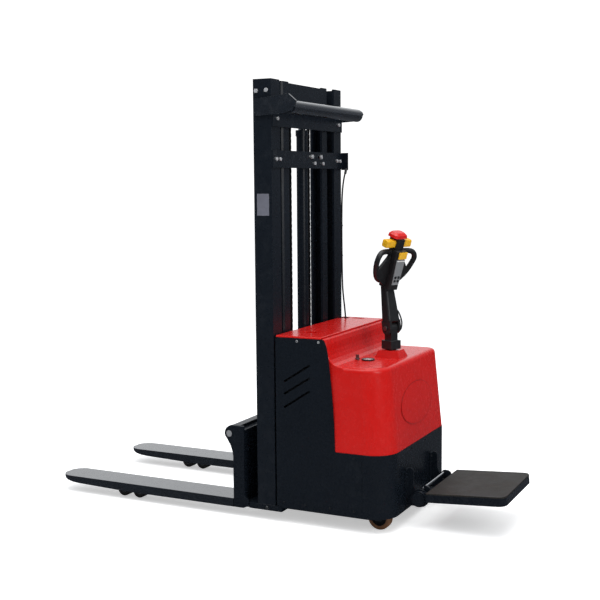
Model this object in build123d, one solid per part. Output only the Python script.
from build123d import *
import os
from math import sin, cos, tan, radians

# Walkie stacker with a folding platform, built as separate pieces. All sizes in mm.
# Working frame: X = 0 at the fork face, forks point to -X, the operator side is +X,
# Y = 0 is the middle plane (near side -Y, far side +Y), Z = 0 is the floor. Everything is
# shifted at the end so that the middle of the overall length is X = 0.

# ---- driving dimensions -------------------------------------------------
HALF_W = 425.0                        # half width of the chassis, mast and fork spread
FIT, RUN_FIT = 0.05, 0.06             # radial gaps of still and turning joints
CORNER = 0.70710678                   # cosine of 45 degrees, for the middle of corner arcs

FORK_LEN, FORK_W = 1150.0, 173.0      # length from the fork face, width of one fork
FORK_TOP = 93.0                       # lowered fork height
FORK_SIDE_Z = 47.0                    # lower edge of the fork side walls
LEG_INNER, LEG_OUTER = 272.0, 405.0   # distances of the leg sides from the middle plane
SLOT_INNER, SLOT_OUTER = 302.0, 375.0
FOOT_TOP = 84.0                       # top of the frame under the mast
FLOOR_Z0, FLOOR_TOP = 240.0, 250.0    # chassis floor plate

MAST_X0, MAST_X1 = 146.0, 248.0       # outer mast channel, front and rear
MAST_TOP = 2262.0
CHANNEL_T = 12.0                      # web and flange thickness
CHANNEL_IN = 330.0                    # inner edge of the flanges
MAST_PLATE_T = 9.0                    # plates on the rear of the mast
INNER_X0, INNER_X1 = 160.0, 234.0     # inner mast rail, front and rear
RAIL_IN, RAIL_OUT = 202.0, 274.0      # inner mast rail, sides
ROLLER_X = 197.0                      # axis of all mast and carriage rollers
MAST_ROLLER_Z = (150, 640)
CARRIAGE_ROLLER_Z = (160, 430)
MAST_AXLE_R, CARRIAGE_AXLE_R = 12.0, 10.0

CYL_X = 209.0                         # lift cylinder axis
BARREL_R, ROD_R = 30.0, 20.0
CHAIN_Y = 112.0
CHAIN_FRONT_X, CHAIN_REAR_X = 192.0, 240.0
CHAIN_HALF_T, CHAIN_HALF_W = 6.0, 10.0
CHAIN_Z0, CHAIN_ANCHOR_TOP = 300.0, 2048.0
PULLEY = ((CHAIN_FRONT_X + CHAIN_REAR_X) / 2, 2130.0)   # pulley axis (x, z)
PULLEY_R = (CHAIN_REAR_X - CHAIN_FRONT_X) / 2           # radius of the chain centre line
PULLEY_PIN_R = 7.0

PANEL_T = 3.0
PANEL_TOP, LID_TOP = 966.0, 976.0
DECK_Z = 832.0                        # top of the rear cowl
SKIRT_TOP, BODY_BOTTOM = 400.0, 77.0
COWL_Z0 = SKIRT_TOP + 1.5
REAR_X = 878.0                        # rear face of the skirt
REAR_R_NEAR, REAR_R_FAR = 128.0, 60.0   # plan radii of the rear corners
COWL_T = 4.0
COWL_HALF_W, COWL_DRAFT = 421.5, 10.0   # half width at the foot, and its loss up to the deck
METER = (654.0, -152.0)
METER_R = 28.5
KEY = (606.0, -178.0)

LOAD_WHEEL_R, LOAD_AXLE_R = 40.0, 7.0
LOAD_X1, LOAD_X2 = -643.0, -745.0     # load wheel axles
BOGIE = (-694.0, 62.0)                # bogie pin (x, z)
BOGIE_PIN_R = 8.0
CASTOR_X, CASTOR_Y = 750.0, 305.0     # castor swivel axis
CASTOR_R, CASTOR_AXLE_R = 60.0, 6.0
CASTOR_AXLE = (CASTOR_X + 35.0, CASTOR_R)   # axle (x, z), with the trail added
CASTOR_STEM_R = 8.0

PLAT_PIVOT = (955.0, 148.0)           # platform pivot (x, z)
PLAT_PIN_R = 10.0
PLAT_ROD, PLAT_ROD_R = (964, 196), 7
PLAT_X0, PLAT_X1 = 1005.0, 1412.0
PLAT_HALF_W, PLAT_CORNER_R = 252.0, 42.0
PLAT_TOP, PLAT_DEPTH = 187.0, 39.0
PLAT_TILT = 3.86                      # degrees, rear end up
TRAY_X1 = (PLAT_X0 + (PLAT_X1 - PLAT_X0) / cos(radians(PLAT_TILT))
           - PLAT_DEPTH * tan(radians(PLAT_TILT)))   # tray end before tilting

STEER_X = 722.0                       # steering axis
DRIVE_R = 115.0                       # drive wheel
HUB_R = 18.0
TILLER_YAW = -24.0                    # the tiller is turned this far at rest
PIVOT_Z = 985.0                       # tiller tilt pin height
TILT_PIN_R = 8.0
ARM_LEAN, HEAD_LEAN = -8.3, 19.0      # arm leans to the front, head toward the operator
ARM_LEN = 236.0
FACE_X = 58.0                         # flat operator face of the head
SWITCH_AXIS, SWITCH_PIN_R = (2.0, 226.0), 6.0
BUTTON_AXIS, BUTTON_PIN_R = (-14, 0), 8.0
ROCKER = (FACE_X + 3.5, 178.0)        # rocker axis in the head (x, z)
ROCKER_PIN_R = 3.0

# Local frames of the steered pieces: X along the heading, Y across, Z up the piece.
YAW = Pos(STEER_X, 0, 0) * Rot(0, 0, TILLER_YAW)
ARM = YAW * Pos(0, 0, PIVOT_Z) * Rot(0, ARM_LEAN, 0)    # origin at the tilt pin
HEAD = (YAW * Pos(ARM_LEN * sin(radians(ARM_LEAN)), 0,
                  PIVOT_Z + ARM_LEN * cos(radians(ARM_LEAN)))
        * Rot(0, HEAD_LEAN, 0))                         # origin at the top of the arm
SHIFT = Location(((FORK_LEN - PLAT_X1) / 2, 0, 0))


# ---- helpers --------------------------------------------------------------
def box(x0, x1, y0, y1, z0, z1):
    centre = Pos((x0 + x1) / 2, (y0 + y1) / 2, (z0 + z1) / 2)
    return centre * Box(abs(x1 - x0), abs(y1 - y0), abs(z1 - z0))


def rod(axis, centre, radius, start, end):
    """Cylinder along an axis; centre holds the other two coordinates in X, Y, Z order."""
    middle = (start + end) / 2
    cylinder = Cylinder(radius, abs(end - start))
    if axis == "z":
        return Pos(centre[0], centre[1], middle) * cylinder
    if axis == "y":
        return Pos(centre[0], middle, centre[1]) * Rot(90, 0, 0) * cylinder
    return Pos(middle, centre[0], centre[1]) * Rot(0, 90, 0) * cylinder


def prism(axis, points, start, end):
    """Polygon extruded along an axis; points hold the other two coordinates."""
    index = "xyz".index(axis)
    corners = [(*point[:index], start, *point[index:]) for point in points]
    direction = tuple(int(i == index) for i in range(3))
    face = make_face(Polyline(*corners, close=True))
    return extrude(face, amount=end - start, dir=direction)


def arc_points(centre, radius, angles):
    return [(centre[0] + radius * cos(radians(a)), centre[1] + radius * sin(radians(a)))
            for a in angles]


def hex_head(axis, centre, radius, start, end):
    return prism(axis, arc_points(centre, radius, range(0, 360, 60)), start, end)


def swept_rod(points, radius):
    path = Spline(*points)
    return sweep(Plane(origin=path @ 0, z_dir=path % 0) * Circle(radius), path=path)


def rounded_plan(open_x, round_x, y0, y1, r0, r1, z):
    """Plan face, square at open_x; its corners at round_x have radius r0 (y0) and r1 (y1)."""
    sign = 1 if round_x > open_x else -1
    start0, start1 = round_x - sign * r0, round_x - sign * r1
    return make_face(Wire([
        Line((open_x, y0, z), (start0, y0, z)),
        ThreePointArc((start0, y0, z),
                      (start0 + sign * r0 * CORNER, y0 + r0 - r0 * CORNER, z),
                      (round_x, y0 + r0, z)),
        Line((round_x, y0 + r0, z), (round_x, y1 - r1, z)),
        ThreePointArc((round_x, y1 - r1, z),
                      (start1 + sign * r1 * CORNER, y1 - r1 + r1 * CORNER, z),
                      (start1, y1, z)),
        Line((start1, y1, z), (open_x, y1, z)),
        Line((open_x, y1, z), (open_x, y0, z)),
    ]))


def try_fillet(shape, pick, *radii):
    """Fillet the picked edges with the first radius that works."""
    for radius in radii:
        # Guards against the kernel refusing the fillet: the shape then stays sharp.
        try:
            return fillet(pick(shape), radius)
        except Exception:
            pass
    return shape


def mirrored(shape):
    return mirror(shape, about=Plane.XZ)


def both_sides(shape):
    return Compound(children=[shape, mirrored(shape)])


def solid_group(*shapes):
    return Compound(children=[solid for shape in shapes for solid in shape.solids()])


# ---- base frame and masts -------------------------------------------------
def support_leg():
    """Near leg with its wheel slot, the foot under the mast and the bogie pin hole."""
    leg = box(-716, 150, -LEG_OUTER, -LEG_INNER, 50, 80)
    leg -= box(-800, -585, -SLOT_OUTER, -SLOT_INNER, 40, 90)
    leg += box(95, 285, -HALF_W, -255, 54, FOOT_TOP)
    leg -= rod("y", BOGIE, BOGIE_PIN_R + FIT, -LEG_OUTER - 5, -LEG_INNER + 5)
    return leg


def base_frame():
    frame = support_leg() + mirrored(support_leg())
    frame += box(150, 285, -HALF_W, HALF_W, 54, FOOT_TOP)
    floor = box(262, 800, -405, 405, FLOOR_Z0, FLOOR_TOP)
    floor += box(790, 866, -280, 280, FLOOR_Z0, FLOOR_TOP)
    floor -= rod("z", (STEER_X, 0), 101, 230, 260)
    frame += floor
    for side in (-1, 1):
        y = side * CASTOR_Y
        frame += box(262, 735, side * 405, side * 421, BODY_BOTTOM, FLOOR_TOP)
        frame += box(CASTOR_X - 45, CASTOR_X + 45, y - 45, y + 45, 190, FLOOR_Z0)
        frame -= rod("z", (CASTOR_X, y), CASTOR_STEM_R + FIT, 185, 222)
    frame += box(256, 262, -421, 421, FOOT_TOP, 640)
    frame += box(262, 285, -405, 405, FOOT_TOP, 96)
    return frame


def outer_channel():
    """Near channel, open toward the middle plane."""
    web_y = -HALF_W + CHANNEL_T
    section = [
        (MAST_X0, -HALF_W), (MAST_X1, -HALF_W), (MAST_X1, -CHANNEL_IN),
        (MAST_X1 - CHANNEL_T, -CHANNEL_IN), (MAST_X1 - CHANNEL_T, web_y),
        (MAST_X0 + CHANNEL_T, web_y), (MAST_X0 + CHANNEL_T, -CHANNEL_IN),
        (MAST_X0, -CHANNEL_IN),
    ]
    return prism("z", section, FOOT_TOP, MAST_TOP)


def outer_mast():
    mast = outer_channel() + mirrored(outer_channel())
    mast += box(MAST_X1, MAST_X1 + MAST_PLATE_T, -421, 421, 2026, 2106)
    mast += box(MAST_X1, MAST_X1 + 7, -CHANNEL_IN - 10, CHANNEL_IN + 10, 90, 420)
    mast += box(MAST_X1 - 12, MAST_X1, -CHANNEL_IN, -190, 90, 250)
    mast += box(MAST_X1 - 12, MAST_X1, 190, CHANNEL_IN, 90, 250)
    for y in (-CHAIN_Y, CHAIN_Y):         # fixed chain anchors
        mast += box(CHAIN_REAR_X - CHAIN_HALF_T, MAST_X1, y - 14, y + 14,
                    2030, CHAIN_ANCHOR_TOP)
    return mast


def mast_bracket():
    """Plate across the mast, its far end bent to the rear, with two slots and two holes."""
    bracket = box(MAST_X1, MAST_X1 + MAST_PLATE_T, -424, 428, 1821, 1909)
    bracket += box(MAST_X1, 288, 428, 437, 1815, 1912)
    for y0, y1 in ((-10, 50), (100, 160)):
        bracket -= box(MAST_X1 - 1, MAST_X1 + 10, y0, y1, 1877, 1889)
    for y in (55, 160):
        bracket -= rod("x", (y, 1848), 7, 240, 262)
    return bracket


def cylinder_clamp():
    """Saddle behind the lift cylinder barrel and a band round its front."""
    axis, saddle_x = (CYL_X, 0), CYL_X + 12
    saddle = box(saddle_x, MAST_X1, -44, 44, 1840, 1885) - rod("z", axis, BARREL_R, 1830, 1900)
    band = rod("z", axis, BARREL_R + 6, 1852, 1874) - rod("z", axis, BARREL_R, 1850, 1876)
    band -= box(saddle_x, 300, -60, 60, 1840, 1890)
    return solid_group(saddle, band)


def top_guard():
    """Two end plates outside the mast, joined by a tube with closed ends."""
    front_x = 153
    near = [(front_x, 2078), (front_x, 2163), (352, 2181), (393, 2146), (372, 2100), (318, 2086)]
    far = [(front_x, 2078), (front_x, 2150), (340, 2151), (374, 2141), (383, 2126),
           (372, 2100), (318, 2086)]
    axis, radius, wall = (348.0, 2118.0), 35.0, 4
    near_plate = prism("y", near, -HALF_W - 12, -HALF_W)
    tube = rod("y", axis, radius, -HALF_W, HALF_W)
    tube -= rod("y", axis, radius - wall, -HALF_W + 1, HALF_W - 1)
    far_plate = prism("y", far, HALF_W, HALF_W + 12)
    return near_plate + far_plate + tube


def lift_cylinder():
    """Barrel with its collars and a side port, bored for the rod."""
    axis = (CYL_X, 0)
    barrel = rod("z", axis, BARREL_R, FOOT_TOP, 2000)
    barrel += rod("z", axis, 34, 1992, 2024)
    barrel += rod("z", axis, 36, FOOT_TOP, 104)
    barrel += rod("x", (0, 118), 9, CYL_X + 20, CYL_X + 38)
    barrel -= rod("z", axis, ROD_R + FIT, 110, 2030)
    return barrel


def inner_rail():
    """Near rail of the inner mast with its roller axles."""
    wall, chamfer, web_y = 12, 9, -262
    section = [
        (INNER_X0, -RAIL_IN), (INNER_X0, -RAIL_OUT + chamfer), (INNER_X0 + chamfer, -RAIL_OUT),
        (INNER_X1 - chamfer, -RAIL_OUT), (INNER_X1, -RAIL_OUT + chamfer), (INNER_X1, -RAIL_IN),
        (INNER_X1 - wall, -RAIL_IN), (INNER_X1 - wall, web_y), (INNER_X0 + wall, web_y),
        (INNER_X0 + wall, -RAIL_IN),
    ]
    rail = prism("z", section, 88, MAST_TOP)
    for z in MAST_ROLLER_Z:
        rail += rod("y", (ROLLER_X, z), MAST_AXLE_R, -396, -RAIL_OUT)
    return rail


def inner_mast():
    mast = inner_rail() + mirrored(inner_rail())
    mast += box(222, INNER_X1, -RAIL_IN, RAIL_IN, 2192, 2256)        # top beam
    mast += box(INNER_X0, INNER_X1, -RAIL_IN, RAIL_IN, 2172, 2192)   # crosshead plate
    mast += box(INNER_X0, 172, -RAIL_IN, RAIL_IN, 88, 112)           # bottom tie
    for side in (-1, 1):                                             # pulley cheeks
        for offset in (-14.5, 14.5):
            y = side * CHAIN_Y + offset
            mast += box(204, 232, y - 2, y + 2, 2108, 2172)
    for y in (-CHAIN_Y, CHAIN_Y):
        mast += rod("y", PULLEY, PULLEY_PIN_R, y - 18, y + 18)
    return mast


def roller_pair(z, radius, y0, y1, bore):
    axis = (ROLLER_X, z)
    return both_sides(rod("y", axis, radius, y0, y1) - rod("y", axis, bore, y0 - 1, y1 + 1))


def chain_pulley(y):
    pulley = rod("y", PULLEY, PULLEY_R + 4, y - 12, y + 12)
    pulley -= (rod("y", PULLEY, PULLEY_R + 10, y - 10.5, y + 10.5)
               - rod("y", PULLEY, PULLEY_R - 6.2, y - 11, y + 11))
    pulley -= rod("y", PULLEY, PULLEY_PIN_R + FIT, y - 20, y + 20)
    return pulley


def chain_wrap(y):
    """Half turn of chain over the top of a pulley."""
    ring = rod("y", PULLEY, PULLEY_R + CHAIN_HALF_T, y - CHAIN_HALF_W, y + CHAIN_HALF_W)
    ring -= rod("y", PULLEY, PULLEY_R - CHAIN_HALF_T, y - 11, y + 11)
    return ring & box(100, 300, y - 20, y + 20, PULLEY[1], PULLEY[1] + 60)


def chain_run(x, y, z0):
    return box(x - CHAIN_HALF_T, x + CHAIN_HALF_T, y - CHAIN_HALF_W, y + CHAIN_HALF_W,
               z0, PULLEY[1])


def chain_pair(build):
    """Compound of what build(y) makes at the two chain places."""
    return Compound(children=[build(-CHAIN_Y), build(CHAIN_Y)])


# ---- body panels ------------------------------------------------------------
# Side panel outline (x, z), from the lower front corner, up and over to the rear.
SIDE_PANEL = [
    (258, 86), (258, 958), (266, 966), (516, 966), (528, 964), (536, 950), (545, 927),
    (555, 867), (562, 807), (571, 717), (579, 627), (584, 536), (587, 444), (588, 401),
    (734, SKIRT_TOP), (734, BODY_BOTTOM), (286, BODY_BOTTOM), (286, 86),
]
# Sloping slots in the side panel: the (x, z) ends of each centre line.
PANEL_SLOTS = [((305, 740), (450, 832)), ((305, 676), (450, 767)), ((304, 606), (449, 700))]


def side_panel():
    """Near side panel with three slots and a folded top flange."""
    inner_y, slot_half = -HALF_W + PANEL_T, 5.0
    panel = prism("y", SIDE_PANEL, -HALF_W, inner_y)
    for (x0, z0), (x1, z1) in PANEL_SLOTS:
        length = ((x1 - x0) ** 2 + (z1 - z0) ** 2) ** 0.5
        across_x = -(z1 - z0) / length * slot_half
        across_z = (x1 - x0) / length * slot_half
        panel -= prism("y", [(x0 + across_x, z0 + across_z), (x1 + across_x, z1 + across_z),
                             (x1 - across_x, z1 - across_z), (x0 - across_x, z0 - across_z)],
                       -427, -420)
    panel += box(270, 514, inner_y, inner_y + 10, 960, 963)
    return panel


def rear_skirt():
    def block(open_x, inset, z, height):
        half = HALF_W - inset
        plan = rounded_plan(open_x, REAR_X - inset, -half, half,
                            REAR_R_NEAR - inset, REAR_R_FAR - inset, z)
        return extrude(plan, amount=height, dir=(0, 0, 1))

    height = SKIRT_TOP - BODY_BOTTOM
    skirt = block(735, 0, BODY_BOTTOM, height)
    skirt -= block(730, PANEL_T, BODY_BOTTOM - 1, height - PANEL_T + 1)
    skirt -= block(730, 18, SKIRT_TOP - 10, 20)      # leaves a ledge round the top
    return skirt


def cowl_hull(inset, z_top, z_bottom):
    """Drafted cowl body between two heights, offset inwards by inset."""
    def section(z):
        rise = (z - COWL_Z0) / (DECK_Z - COWL_Z0)
        half = COWL_HALF_W - COWL_DRAFT * rise - inset
        return rounded_plan(560 - 24 * rise, REAR_X - 1 - 41 * rise - inset, -half, half,
                            REAR_R_NEAR - inset, REAR_R_FAR - inset, z)
    return loft([section(z_bottom), section(z_top)])


# Riser at the front of the cowl, outside and inside (x, z): down its rear face to the deck.
RISER = [
    (515, 968), (524, 968), (531, 962), (537, 940), (541, 905), (546, 884), (556, 863),
    (572, 846), (592, 836), (620, 832), (640, 800), (640, 700), (515, 700),
]
RISER_INSIDE = [
    (500, 964), (523, 964), (527.5, 958), (533, 938), (537, 904), (542, 882), (552.5, 860.5),
    (569.5, 842.5), (590.5, 832), (618, 828), (630, 790), (630, 690), (500, 690),
]


def pedestal(z0, z1, shrink):
    """Tapered block round the steering column."""
    return loft([Plane((STEER_X, 0, z0)) * Rectangle(150 - shrink, 130 - shrink),
                 Plane((STEER_X, 0, z1)) * Rectangle(104 - shrink, 96 - shrink)])


def cowl():
    def rim_edges(z):
        return lambda hull: [e for e in hull.edges()
                             if abs(e.center().Z - z) < 0.5 and e.center().X > 570]

    deck_half = COWL_HALF_W - COWL_DRAFT
    under_deck = DECK_Z - COWL_T
    outer = try_fillet(cowl_hull(0, DECK_Z, COWL_Z0), rim_edges(DECK_Z), 24, 14)
    riser = prism("y", RISER, -deck_half, deck_half)
    riser = try_fillet(
        riser,
        lambda s: [e for e in s.edges() if abs(abs(e.center().Y) - deck_half) < 0.5
                   and e.center().Z > 830 and e.center().X > 516],
        6)
    shape = outer + riser

    inner = cowl_hull(COWL_T, under_deck, COWL_Z0 - 5)
    inner = fillet(rim_edges(under_deck)(inner), 20)
    inner = inner + box(500, 600, -404, 404, 380, under_deck - 40)
    shape -= inner
    shape -= prism("y", RISER_INSIDE, -deck_half + COWL_T, deck_half - COWL_T)

    shape += pedestal(DECK_Z - 12, 870, 0) - box(600, 900, -100, 100, 800, under_deck)
    shape -= pedestal(DECK_Z - 20, 866, 8) & box(600, 900, -100, 100, 800, 866)
    shape -= rod("z", (STEER_X, 0), 29, 780, 900)

    # raised oval on the rear face
    ellipse = extrude(Ellipse(108, 226), amount=60, both=True)
    oval = cowl_hull(-3, DECK_Z, COWL_Z0) & (Pos(860, 18, 600) * Rot(0, 90, 0) * ellipse)
    shape += oval - cowl_hull(COWL_T / 2, DECK_Z, COWL_Z0)

    # shallow groove down the riser's rear face, cut in two lengths
    depth = 1.4
    for z0, z1, x0, x1 in ((842, 975, 510, 575), (826, 850, 540, 622)):
        core = prism("y", [(x - depth, z - depth) for x, z in RISER], -411, 411)
        shape -= box(x0, x1, 155, 157.4, z0, z1) & (riser - core)
    shape -= rod("z", METER, METER_R + 0.5, DECK_Z - 10, DECK_Z + 10)
    shape -= rod("z", KEY, 8, DECK_Z - 20, DECK_Z + 20)
    return shape


def battery_lid():
    """Hollow lid with an inner rim, two oval finger cups and a notch at the front."""
    lid_floor = LID_TOP - 4
    lid = box(259, 512, -423.5, 423.5, PANEL_TOP + 0.5, LID_TOP)
    lid = try_fillet(
        lid,
        lambda s: [e for e in s.edges() if e.center().Z > LID_TOP - 0.5]
        + [e for e in s.edges().filter_by(Axis.Z)],
        5)
    lid -= box(263, 508, -419.5, 419.5, PANEL_TOP - 1, lid_floor)
    lid += box(275, 505, -408, 408, 946, lid_floor) - box(279, 501, -404, 404, 940, lid_floor)
    for x, y in ((373, -258), (373, 376)):
        recess = Pos(x, y, LID_TOP - 7) * extrude(SlotOverall(78, 38), amount=7)
        cup = Pos(x, y, LID_TOP - 10) * extrude(SlotOverall(86, 46), amount=9)
        lid += cup & box(270, 505, -419, 419, 950, LID_TOP - 1)
        lid -= recess
    lid -= box(250, 320, 338, 392, 930, 990)
    return lid


# ---- equipment inside the body, meter and key -------------------------------
def battery():
    """Block with six by two round cell caps."""
    top = 820
    block = box(275, 500, -330, 330, FLOOR_TOP, top)
    for i in range(6):
        for j in range(2):
            block += rod("z", (330 + 115 * j, -275 + 110 * i), 22, top, top + 12)
    return block


def power_pack():
    return (box(520, 640, -385, -165, FLOOR_TOP, 520) + rod("z", (580, -275), 58, 520, 690)
            + rod("z", (560, -200), 16, 520, 545))


def controller():
    return box(520, 650, 170, 380, FLOOR_TOP, 330) + box(535, 635, 190, 360, 330, 345)


# Hose centre line (x, y, z), from the mast bracket down through the lid notch.
HOSE_PATH = [
    (292, 395, 1816), (289, 362, 1736), (286, 350, 1602), (286, 350, 1264),
    (289, 354, 1128), (299, 364, 990), (300, 368, 930), (300, 368, 700),
]


def meter_bezel():
    bezel = rod("z", METER, METER_R, DECK_Z - 22, DECK_Z + 1)
    bezel += rod("z", METER, 34, DECK_Z + 0.2, DECK_Z + 7)
    bezel -= rod("z", METER, 25.5, DECK_Z + 2, DECK_Z + 10)
    return bezel


def key_switch():
    x, y = KEY
    rim_top = DECK_Z + 12
    switch = rod("z", KEY, 7.9, DECK_Z - 20, rim_top)
    switch += (rod("z", KEY, 12, DECK_Z + 6.5, rim_top)
               + box(x - 9, x + 9, y - 1.5, y + 1.5, rim_top, DECK_Z + 30))
    return switch


# ---- platform -------------------------------------------------------------
def platform_brackets():
    """Pivot plates with their flanges on the skirt and the pivot pins."""
    flange_x = REAR_X + 8
    outline = [(flange_x, 104), (flange_x, 292), (894, 300), (910, 298), (917, 286), (918, 215)]
    outline += arc_points(PLAT_PIVOT, 46, range(125, -91, -15)) + [(915, 104)]
    plate = prism("y", outline, -190, -180) - rod("y", PLAT_PIVOT, PLAT_PIN_R, -195, -175)
    flange = box(REAR_X, flange_x, -206, -164, 104, 296)
    return both_sides(plate + flange + rod("y", PLAT_PIVOT, PLAT_PIN_R, -215, -172))


def tilted(shape):
    """Turn a level platform piece about the tray's upper front edge."""
    return (Pos(PLAT_X0, 0, PLAT_TOP) * Rot(0, -PLAT_TILT, 0)
            * Pos(-PLAT_X0, 0, -PLAT_TOP) * shape)


def platform_slab(x0, x1, half, radius, z0, z1):
    plan = rounded_plan(x0, x1, -half, half, radius, radius, z0)
    return extrude(plan, amount=z1 - z0, dir=(0, 0, 1))


# Lug round the platform rod (x, z).
LUG = [
    (1008, 152), (1008, 182), (1003, 187), (996, 203), (984, 209), (964, 210), (953, 205),
    (950, 196), (953, 187), (964, 182), (978, 181), (992, 166), (1000, 152),
]


def platform_tray():
    """Tray open below with two ribs, pivot ears, end caps and rod lugs."""
    wall = 5
    tray = platform_slab(PLAT_X0, TRAY_X1, PLAT_HALF_W, PLAT_CORNER_R,
                         PLAT_TOP - PLAT_DEPTH, PLAT_TOP)
    tray -= platform_slab(PLAT_X0 + wall, TRAY_X1 - wall, PLAT_HALF_W - wall,
                          PLAT_CORNER_R - wall, 140, PLAT_TOP - wall)
    tray += (box(PLAT_X0 + wall, TRAY_X1 - 7.4, -60, -52, 152, PLAT_TOP - wall)
             + box(PLAT_X0 + wall, TRAY_X1 - 7.4, 52, 60, 152, PLAT_TOP - wall))
    tray = tilted(tray)

    ear_r = 40
    ear_outline = arc_points(PLAT_PIVOT, ear_r, range(60, 301, 20))
    ear_outline += [(1004, 143), (1030, 150), (1030, 178), (1004, 180)]
    ear = prism("y", ear_outline, -203, -191)
    ear = ear + rod("y", PLAT_PIVOT, ear_r, -212, -191)
    ear = ear - rod("y", PLAT_PIVOT, PLAT_PIN_R + RUN_FIT, -216, -185)
    cap = rod("y", PLAT_PIVOT, 34, -226, -217) + rod("y", PLAT_PIVOT, ear_r, -217, -212)
    cap -= rod("y", PLAT_PIVOT, 12, -217.5, -210)
    lug = prism("y", LUG, -171, -160) - rod("y", PLAT_ROD, PLAT_ROD_R + 0.02, -175, -155)
    side = (ear - tray) + cap + (lug - tray)
    return tray + side + mirrored(side)


def platform_mat():
    return tilted(platform_slab(PLAT_X0 + 1, TRAY_X1 - 0.4, PLAT_HALF_W - 1.5,
                                PLAT_CORNER_R - 1, PLAT_TOP, PLAT_TOP + 8))


# ---- carriage and forks -----------------------------------------------------
def carriage():
    """Two side plates, three cross bars, chain anchors and roller axles."""
    body = box(66, 215, -198, -186, 122, 462) + box(66, 215, 186, 198, 122, 462)
    for z0, z1 in ((126, 168), (270, 310), (418, 460)):
        body += box(66, 125, -186, 186, z0, z1)
    for side in (-1, 1):
        y = side * CHAIN_Y
        body += box(125, 204, y - 12, y + 12, 280, CHAIN_Z0)
        for z in CARRIAGE_ROLLER_Z:
            body += rod("y", (ROLLER_X, z), CARRIAGE_AXLE_R, side * 198, side * 251)
    return body


# Side plate of the fork frame (x, z), up the rear edge and round the front nose.
FORK_SIDE_PLATE = [
    (0, FORK_SIDE_Z), (58, FORK_SIDE_Z), (90, 62), (90, 88), (66, 112), (66, 484), (-9, 484),
    (-24, 480), (-38, 470), (-47, 455), (-50, 438), (-46, 424), (-36, 412), (-14, 375),
    (-4, 345), (0, 320),
]
NOSE_PIN, NOSE_PIN_R = (-22.5, 439.0), 17
PLATE_IN = 413.0                      # inner face of the side plates


def fork_frame(near_fork, far_fork):
    """Side plates joined by cross bars and uprights, cut clear of the forks."""
    plate = prism("y", FORK_SIDE_PLATE, -HALF_W, -PLATE_IN)
    plate = plate - rod("y", NOSE_PIN, NOSE_PIN_R, -430, -400)
    frame = plate + mirrored(plate)
    frame += box(-16, 32, -PLATE_IN, PLATE_IN, 464, 482)
    frame += box(30, 66, -PLATE_IN, PLATE_IN, FORK_TOP - 1, 141)
    frame += box(48, 66, -PLATE_IN, -180, 141, 464) + box(48, 66, 180, PLATE_IN, 141, 464)
    frame += box(26, 66, -PLATE_IN, PLATE_IN, 440, 464) - box(26, 60, -401, 401, 430, 452)
    return frame - near_fork - far_fork


def nose_pins():
    return both_sides(rod("y", NOSE_PIN, NOSE_PIN_R, -424, -398)
                      + rod("y", NOSE_PIN, 22, -411, -398))


# Fork seen from the side (x, z), along the underside to the tip and back on top.
FORK_PROFILE = [
    (66, FORK_SIDE_Z), (-680, FORK_SIDE_Z - 1), (-1007, 55), (-1053, 58), (-1100, 68),
    (-1140, 82), (-1149, 88), (-1150, 91), (-1146, FORK_TOP), (-1, FORK_TOP),
    (-1, FORK_TOP - 1), (66, FORK_TOP - 1),
]


def fork():
    """Near fork, open below, with a rounded tip."""
    y0, y1 = -HALF_W, -HALF_W + FORK_W
    tip_r, wall = 80.0, 8
    blade = prism("y", FORK_PROFILE, y0, y1)
    plan = rounded_plan(70, -FORK_LEN, y0, y1, tip_r, tip_r, 0)
    blade = blade & extrude(plan, amount=200, dir=(0, 0, 1))
    blade -= box(-1010, 90, y0 + wall, y1 - wall, 20, FORK_TOP - 9)
    blade -= box(-2, 70, y0, y0 + 12, 20, FORK_TOP + 1)     # seat for the frame side plate
    return blade


# ---- wheels -----------------------------------------------------------------
# Bogie side plate (x, z).
BOGIE_PLATE = [
    (-757, 30), (-733, 28), (-700, 44), (-688, 44), (-655, 28), (-631, 30), (-629, 48),
    (-660, 58), (-680, 74), (-708, 74), (-728, 58), (-759, 48),
]


def bogie():
    """Near bogie: two plates, two wheel axles and the pin through the leg."""
    frame = prism("y", BOGIE_PLATE, -374, -369) + prism("y", BOGIE_PLATE, -308, -303)
    frame += (rod("y", (LOAD_X1, LOAD_WHEEL_R), LOAD_AXLE_R, -369, -308)
              + rod("y", (LOAD_X2, LOAD_WHEEL_R), LOAD_AXLE_R, -369, -308))
    frame += rod("y", BOGIE, BOGIE_PIN_R, -LEG_OUTER, -LEG_INNER)
    return frame


def load_wheel(x):
    axis = (x, LOAD_WHEEL_R)
    wheel = rod("y", axis, LOAD_WHEEL_R, -367.5, -309.5)
    wheel -= rod("y", axis, LOAD_AXLE_R + RUN_FIT, -380, -300)
    return try_fillet(wheel, lambda s: [e for e in s.edges() if e.length > 200], 4)


def castor_fork():
    """Near castor fork with its swivel stem, axle and axle heads."""
    y, axle_x = -CASTOR_Y, CASTOR_AXLE[0]
    x0, x1 = CASTOR_X - 34, CASTOR_X + 38
    plate_in, plate_out = 27, 32
    frame = (rod("z", (CASTOR_X, y), 40, 172, 189.5)
             + rod("z", (CASTOR_X, y), CASTOR_STEM_R, 189.5, 215))
    cheek = [(x0, 172), (x1, 172), (axle_x + 20, 70), (axle_x + 16, 48), (axle_x - 16, 48),
             (axle_x - 24, 66)]
    frame += (prism("y", cheek, y - plate_out, y - plate_in)
              + prism("y", cheek, y + plate_in, y + plate_out))
    frame += box(x0, x1, y - plate_out, y + plate_out, 166, 174)
    frame += rod("y", CASTOR_AXLE, CASTOR_AXLE_R, y - plate_in, y + plate_in)
    frame += (hex_head("y", CASTOR_AXLE, 11, y - 38, y - plate_out)
              + hex_head("y", CASTOR_AXLE, 11, y + plate_out, y + 38))
    return frame


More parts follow.
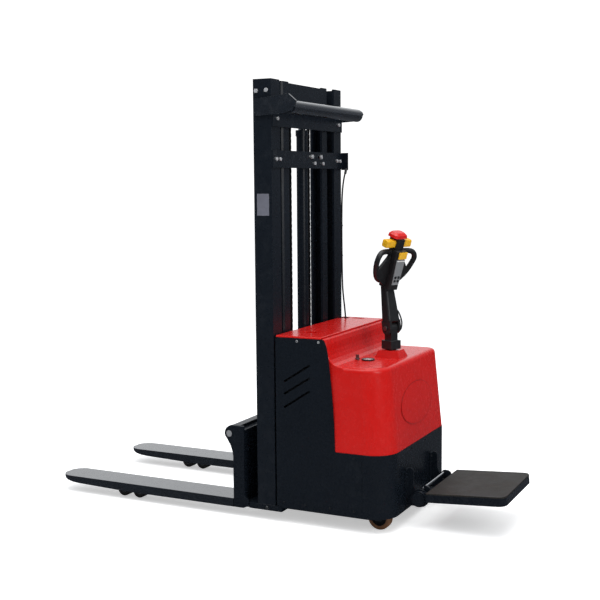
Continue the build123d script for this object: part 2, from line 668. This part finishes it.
def castor_wheel():
    """Near castor wheel, dished on both faces round its hub."""
    y = -CASTOR_Y
    wheel = rod("y", CASTOR_AXLE, CASTOR_R, y - 23, y + 23)
    wheel = try_fillet(wheel, lambda s: s.edges(), 8)
    wheel -= rod("y", CASTOR_AXLE, 38, y - 24, y - 16)
    wheel -= rod("y", CASTOR_AXLE, 38, y + 16, y + 24)
    wheel += rod("y", CASTOR_AXLE, 15, y - 25, y + 25)
    wheel -= rod("y", CASTOR_AXLE, CASTOR_AXLE_R + RUN_FIT, y - 30, y + 30)
    return wheel


# ---- drive unit and steering column, in the YAW frame -----------------------
def drive_unit():
    """Turntable and motor on top, gear case and axle beside the drive wheel."""
    unit = rod("z", (0, 0), 99, 234, 262) + rod("z", (0, 0), 74, 262, 500)
    unit = unit + rod("z", (0, 0), 60, 500, 520)
    unit += box(-60, 60, 42, 104, 60, 234) + rod("y", (0, DRIVE_R), 70, 42, 104)
    unit += rod("y", (0, DRIVE_R), HUB_R, -38, 42)
    unit += box(-45, 45, -48, -41, 95, 234)
    return YAW * unit


def drive_wheel():
    axis = (0, DRIVE_R)
    wheel = try_fillet(rod("y", axis, DRIVE_R, -38, 38), lambda s: s.edges(), 8)
    wheel -= rod("y", axis, 70, -40, -26)
    wheel -= rod("y", axis, 70, 30, 40)
    wheel -= rod("y", axis, HUB_R + RUN_FIT, -40, 40)
    return YAW * wheel


def steering_column():
    column = rod("z", (0, 0), 24, 520, 875)
    column += box(-36, 36, -36, 36, 875, 920)
    post = box(-25, 25, -24, 24, 920, PIVOT_Z) + rod("y", (0, PIVOT_Z), 25, -24, 24)
    post -= rod("y", (0, PIVOT_Z), TILT_PIN_R + RUN_FIT, -30, 30)
    column += post
    return YAW * column


# ---- tiller arm, in the ARM frame ---------------------------------------------
ARM_CHEEK = [(-27, 40), (-27, -8), (-20, -24), (-6, -32), (10, -32), (25, -22), (33, -6),
             (33, 40)]                # (x, z)
CABLE_PATH = [(10, 32, 98), (14, 47, 84), (18, 58, 54), (20, 62, 28), (20, 58, 4),
              (20, 47, -14), (16, 32, -20)]   # (x, y, z)


def arm_loft(z_offset, gap):
    return loft([Plane((3, 0, 34 + z_offset)) * Rectangle(60 + gap, 82 + gap),
                 Plane((0, 0, ARM_LEN + z_offset)) * Rectangle(46 + gap, 58 + gap)])


def arm_body():
    """Tapered arm, hollow inside, with a cheek each side of the column post."""
    cheek_in, cheek_out = 25.5, 40
    body = try_fillet(
        arm_loft(0, 0),
        lambda s: s.edges().filter_by(lambda e: abs((e @ 1 - e @ 0).Z) > 100),
        12)
    for side in (-1, 1):
        body += prism("y", ARM_CHEEK, side * cheek_in, side * cheek_out)
    body -= box(-28, 28, -cheek_in, cheek_in, -40, 28)
    body -= rod("y", (0, 0), TILT_PIN_R, -60, 60)
    body -= box(-16, 16, -19, 19, 50, ARM_LEN - 10)
    return body


def tiller_pin():
    return ARM * (rod("y", (0, 0), TILT_PIN_R, -40, 40) + rod("y", (0, 0), 13, -46, -40)
                  + rod("y", (0, 0), 13, 40, 46))


def tiller_cable(body):
    return ARM * (swept_rod(CABLE_PATH, 4) - body - box(-40, 40, -34, 34, -60, 140))


# ---- tiller head, in the HEAD frame ---------------------------------------------
# Head sections: z, front x, width, corner radius.
HEAD_SECTIONS = [(-16, -26, 68, 12), (20, -30, 68, 14), (110, -20, 66, 14), (196, -16, 74, 14)]
# Centre line of the far grip loop (x, y, z).
GRIP_PATH = [(2, 36, 20), (5, 84, 34), (12, 113, 74), (20, 129, 122), (24, 131, 154),
             (20, 117, 176), (10, 84, 183), (4, 34, 182)]
# Far half of the web that fills the lower part of the grip loops (y, z).
GRIP_WEB = [(34, -6), (84, 26), (112, 70), (104, 84), (62, 140), (38, 176)]


def head_body():
    body = loft([Plane(((x0 + FACE_X) / 2, 0, z)) * RectangleRounded(FACE_X - x0, width, radius)
                 for z, x0, width, radius in HEAD_SECTIONS], ruled=True)
    for side in (-1, 1):
        body = body + swept_rod([(x, side * y, z) for x, y, z in GRIP_PATH], 14)
        body = body + (Pos(4, side * 36, 21) * Sphere(15.5))
    body += prism("x", GRIP_WEB + [(-y, z) for y, z in reversed(GRIP_WEB)], 4, 20)

    # control block on top, narrow enough to leave room for the thumb levers
    block = box(-34, 34, -26, 26, 190, 252)
    body = body + try_fillet(block, lambda s: s.edges().filter_by(Axis.Z), 6)
    body -= rod("y", SWITCH_AXIS, SWITCH_PIN_R + RUN_FIT, -30, 30)
    body -= rod("z", BUTTON_AXIS, BUTTON_PIN_R + RUN_FIT, 228, 262)
    # clearance for the arm, carried over from the arm's frame
    body -= Rot(0, -HEAD_LEAN, 0) * Rot(0, ARM_LEAN, 0) * arm_loft(-ARM_LEN, 0.8)
    return body


def head_cover(body):
    """Thin cover on the operator face with the rocker's pin and support."""
    x, z = ROCKER
    cover = loft([Plane((FACE_X + 1.2, 0, 14)) * Rectangle(4, 46),
                  Plane((FACE_X + 1.2, 0, 152)) * Rectangle(4, 58)])
    cover = (cover + rod("y", ROCKER, ROCKER_PIN_R, -25, 25)
             + box(FACE_X - 2, x, -24, 24, z - 2, z + 2))
    cover = cover + box(FACE_X - 2, FACE_X + 1.5, -20, 20, 150, z)
    return HEAD * (cover - body)


def butterfly_switch():
    """Cross shaft with a rounded thumb lever on each end."""
    x, z = SWITCH_AXIS
    end_y = 88
    switch = rod("y", SWITCH_AXIS, SWITCH_PIN_R, -60, 60)
    for side in (-1, 1):
        lever = box(x - 20, x + 20, side * 26.6, side * end_y, z - 20, z + 20)
        lever = try_fillet(lever, lambda s: s.edges().filter_by(Axis.Y), 9)
        lever = try_fillet(
            lever,
            lambda s: [e for e in s.edges() if abs(abs(e.center().Y) - end_y) < 0.5],
            5)
        switch += lever
    return HEAD * switch


def reverse_button():
    button = loft([Plane((-4, 0, 258)) * RectangleRounded(70, 92, 18),
                   Plane((-4, 0, 273)) * RectangleRounded(66, 88, 18),
                   Plane((-6, 0, 284)) * RectangleRounded(44, 64, 15)], ruled=True)
    return HEAD * (button + rod("z", BUTTON_AXIS, BUTTON_PIN_R, 236, 259))


def lift_rocker():
    x, z = ROCKER
    rocker = box(x, x + 7, -27, 27, z - 18, z + 18)
    return HEAD * (rocker - rod("y", ROCKER, ROCKER_PIN_R + 0.08, -30, 30))


# ---- fasteners ----------------------------------------------------------------
# Side panel screws (x, z).
PANEL_SCREWS = [(380, 951), (500, 952), (300, 110), (420, 110), (560, 110), (690, 110),
                (690, 380)]
# Hexagon heads on the rear of the mast plates: y, z, radius, height.
MAST_BOLTS = [
    (20, 1883, 12, 10), (130, 1883, 12, 10), (55, 1848, 10, 8), (160, 1848, 10, 8),
    (-390, 1865, 10, 7), (-350, 1865, 10, 7), (350, 1865, 10, 7), (390, 1865, 10, 7),
    (-375, 2066, 10, 7), (375, 2066, 10, 7),
]


def fasteners():
    items = []
    guard_bolt_h = 8
    plate_x = MAST_X1 + MAST_PLATE_T
    for side in (-1, 1):
        for axis in PANEL_SCREWS:
            items.append(rod("y", axis, 6, side * HALF_W, side * (HALF_W + 3)))
        high_y = -HALF_W if side < 0 else HALF_W + guard_bolt_h
        for axis in ((165, 2203), (222, 2205)):
            items.append(hex_head("y", axis, 11, high_y, high_y - guard_bolt_h))
    for y in (-78, 64):
        items.append(rod("z", (MAST_X1 + MAST_PLATE_T / 2, y), 8, 2106, 2122))
    for y, z, radius, height in MAST_BOLTS:
        items.append(hex_head("x", (y, z), radius, plate_x, plate_x + height))
    for y in (103, -103):
        items.append(rod("x", (y, 383), 6, REAR_X, REAR_X + 3))
    for side in (-1, 1):
        for z in (124, 276):
            items.append(hex_head("x", (side * 171, z), 7, REAR_X + 8, REAR_X + 14))
    return solid_group(*items)


# ---- assembly -------------------------------------------------------------------
near_fork = fork()
far_fork = mirrored(near_fork)
tiller_body = arm_body()
tiller_head = head_body()

parts = {
    "base_frame": base_frame(),
    "outer_mast": outer_mast(),
    "mast_bracket": mast_bracket(),
    "cylinder_clamp": cylinder_clamp(),
    "top_guard": top_guard(),
    "lift_cylinder": lift_cylinder(),
    "cylinder_rod": rod("z", (CYL_X, 0), ROD_R, 118, 2172),
    "rear_skirt": rear_skirt(),
    "cowl": cowl(),
    "battery_lid": battery_lid(),
    "battery": battery(),
    "power_pack": power_pack(),
    "controller": controller(),
    "hydraulic_hose": swept_rod(HOSE_PATH, 4.5),
    "meter_bezel": meter_bezel(),
    "meter_lens": rod("z", METER, 25, DECK_Z + 2, DECK_Z + 5),
    "key_switch": key_switch(),
    "blank_plate": box(163, 231, -HALF_W - 1.2, -HALF_W, 1581, 1691),
    "platform_brackets": platform_brackets(),
    "platform_rod": rod("y", PLAT_ROD, PLAT_ROD_R, -176, 176),
    "platform_tray": platform_tray(),
    "platform_mat": platform_mat(),
    "inner_mast": inner_mast(),
    "chain_pulleys": chain_pair(chain_pulley),
    "chain_wraps": chain_pair(chain_wrap),
    "chain_front_runs": chain_pair(lambda y: chain_run(CHAIN_FRONT_X, y, CHAIN_Z0)),
    "chain_rear_runs": chain_pair(lambda y: chain_run(CHAIN_REAR_X, y, CHAIN_ANCHOR_TOP)),
    "carriage": carriage(),
    "fork_frame": fork_frame(near_fork, far_fork),
    "lug_pins": nose_pins(),
    "fork_near": near_fork,
    "fork_far": far_fork,
    "drive_unit": drive_unit(),
    "drive_wheel": drive_wheel(),
    "steering_column": steering_column(),
    "tiller_arm": ARM * tiller_body,
    "tiller_pin": tiller_pin(),
    "tiller_cable": tiller_cable(tiller_body),
    "tiller_head": HEAD * tiller_head,
    "head_cover": head_cover(tiller_head),
    "butterfly_switch": butterfly_switch(),
    "reverse_button": reverse_button(),
    "lift_rocker": lift_rocker(),
    "fasteners": fasteners(),
}
for level, mast_z, carriage_z in zip(("low", "high"), MAST_ROLLER_Z, CARRIAGE_ROLLER_Z):
    parts["mast_rollers_" + level] = roller_pair(mast_z, 38.6, -395, -355, MAST_AXLE_R + FIT)
    parts["carriage_rollers_" + level] = roller_pair(carriage_z, 24.6, -250, -222,
                                                     CARRIAGE_AXLE_R + FIT)
for name, near in (
    ("side_panel", side_panel()),
    ("bogie", bogie()),
    ("load_wheel_a", load_wheel(LOAD_X1)),
    ("load_wheel_b", load_wheel(LOAD_X2)),
    ("castor_fork", castor_fork()),
    ("castor_wheel", castor_wheel()),
):
    parts[name + "_near"] = near
    parts[name + "_far"] = mirrored(near)

os.makedirs("parts", exist_ok=True)
for name, shape in parts.items():
    solids = (SHIFT * shape).solids()
    part = solids[0] if len(solids) == 1 else Compound(children=list(solids))
    part.label = name
    export_step(part, f"parts/{name}.step")
